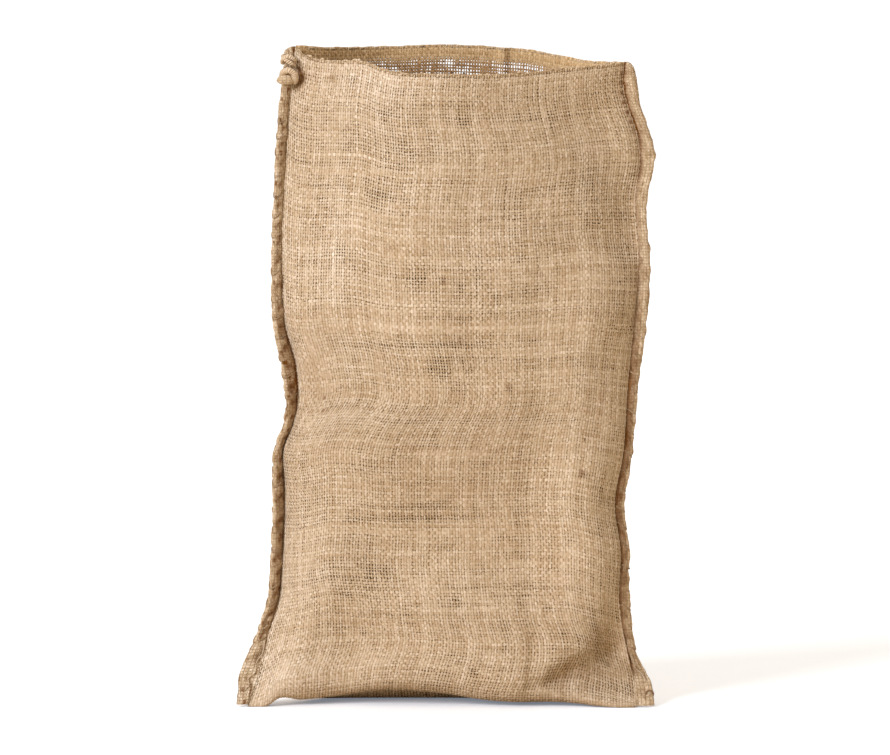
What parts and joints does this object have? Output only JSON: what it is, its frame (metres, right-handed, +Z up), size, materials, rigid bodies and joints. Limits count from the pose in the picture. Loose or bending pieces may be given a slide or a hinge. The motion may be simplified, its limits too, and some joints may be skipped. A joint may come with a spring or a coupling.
{
  "type": "burlap sack",
  "caption": "Open jute burlap sack, filled out and standing on its folded bottom, with overcast side seams and a wide mouth for loading goods.",
  "frame": {"origin": "on the ground, under the middle of the standing sack", "axes": "+Z up towards the mouth, +X across the front to the right-hand seam, -Y towards the front panel"},
  "size_m": [0.3533, 0.1352, 0.555],
  "materials": {
    "jute_burlap": "open plain weave of natural jute, ten threads to the inch, matt and hairy",
    "left_knot_twine": "loosely twisted natural jute twine",
    "right_knot_twine": "loosely twisted natural jute twine"
  },
  "bodies": {
    "root": {"sack_cloth": "jute_burlap", "left_mouth_knot": "left_knot_twine", "right_foot_knot": "right_knot_twine"}
  },
  "joints": []
}
